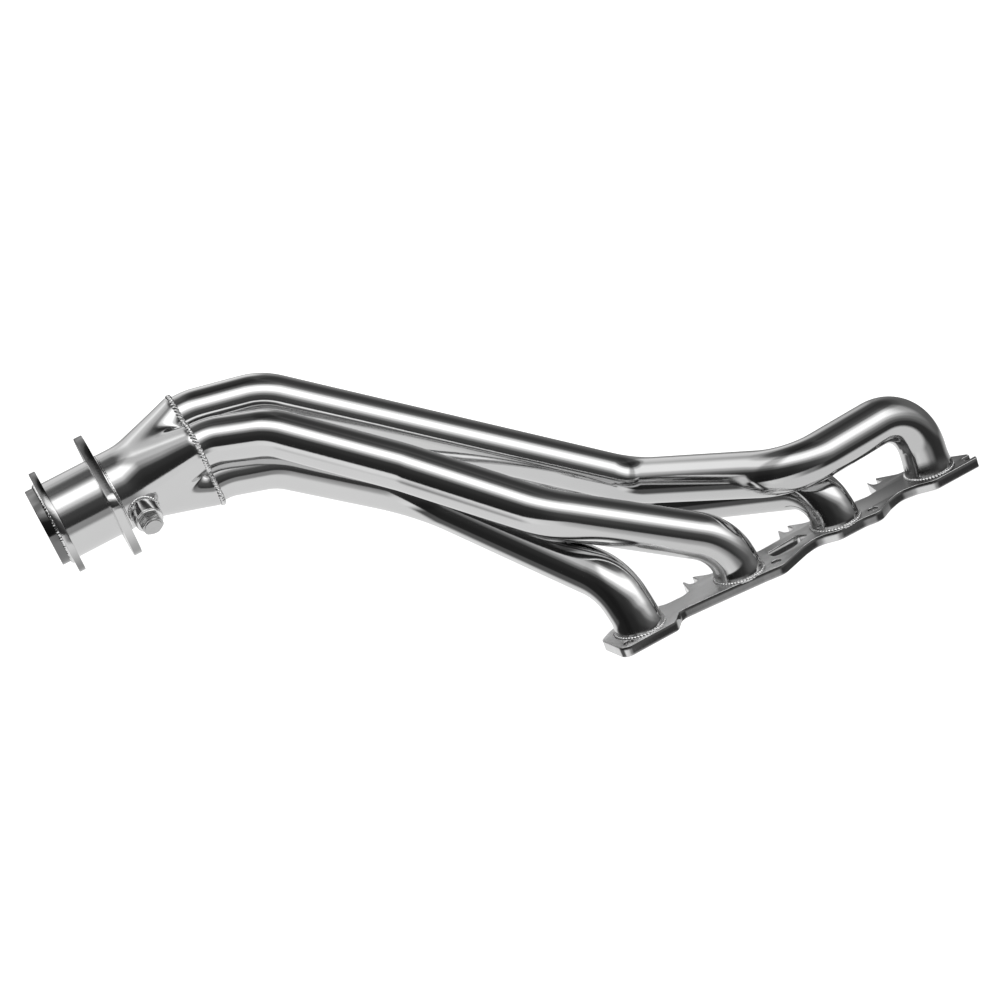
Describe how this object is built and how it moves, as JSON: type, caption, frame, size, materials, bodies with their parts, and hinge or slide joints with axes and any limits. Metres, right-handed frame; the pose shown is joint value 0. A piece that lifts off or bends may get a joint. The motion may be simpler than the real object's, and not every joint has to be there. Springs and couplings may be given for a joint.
{
  "type": "exhaust manifold",
  "caption": "Long-tube exhaust manifold: bent primary tubes run from a bolted head flange to a merge collector with a loose outlet flange and a plugged sensor bung.",
  "frame": {"origin": "middle of the row of exhaust ports on the face that meets the cylinder head", "axes": "+X along the port row, away from the collector; +Z out of the cylinder head; +Y towards the side the collector bends to"},
  "size_m": [0.7904, 0.3866, 0.3252],
  "materials": {
    "polished_tube": "mirror-polished stainless steel",
    "polished_collector": "polished stainless steel",
    "polished_outlet": "polished stainless steel",
    "flange_plate": "satin stainless steel plate",
    "ring_steel": "satin machined stainless steel",
    "loose_plate": "satin stainless steel plate",
    "weld_metal": "rippled weld bead",
    "bung_steel": "turned steel",
    "plug_steel": "satin steel",
    "washer_steel": "satin steel"
  },
  "bodies": {
    "manifold": {"head_flange": "flange_plate", "primary_tube_1": "polished_tube", "primary_tube_2": "polished_tube", "primary_tube_3": "polished_tube", "primary_tube_4": "polished_tube", "port_weld_1": "weld_metal", "port_weld_2": "weld_metal", "port_weld_3": "weld_metal", "port_weld_4": "weld_metal", "collector_body": "polished_collector", "merge_spike": "weld_metal", "collector_weld_1": "weld_metal", "collector_weld_2": "weld_metal", "collector_weld_3": "weld_metal", "collector_weld_4": "weld_metal", "outlet_pipe": "polished_outlet", "outlet_seam": "weld_metal", "stop_ring": "ring_steel", "stop_ring_weld": "weld_metal", "sensor_bung": "bung_steel", "bung_weld": "weld_metal", "bung_plug": "plug_steel", "plug_washer": "washer_steel"},
    "outlet_flange": {"loose_flange": "loose_plate"}
  },
  "joints": [
    {"name": "flange_slide", "type": "slide", "parent": "manifold", "child": "outlet_flange", "axis": [-0.9802, 0.1817, -0.0785], "range_m": [0, 0.045]}
  ]
}
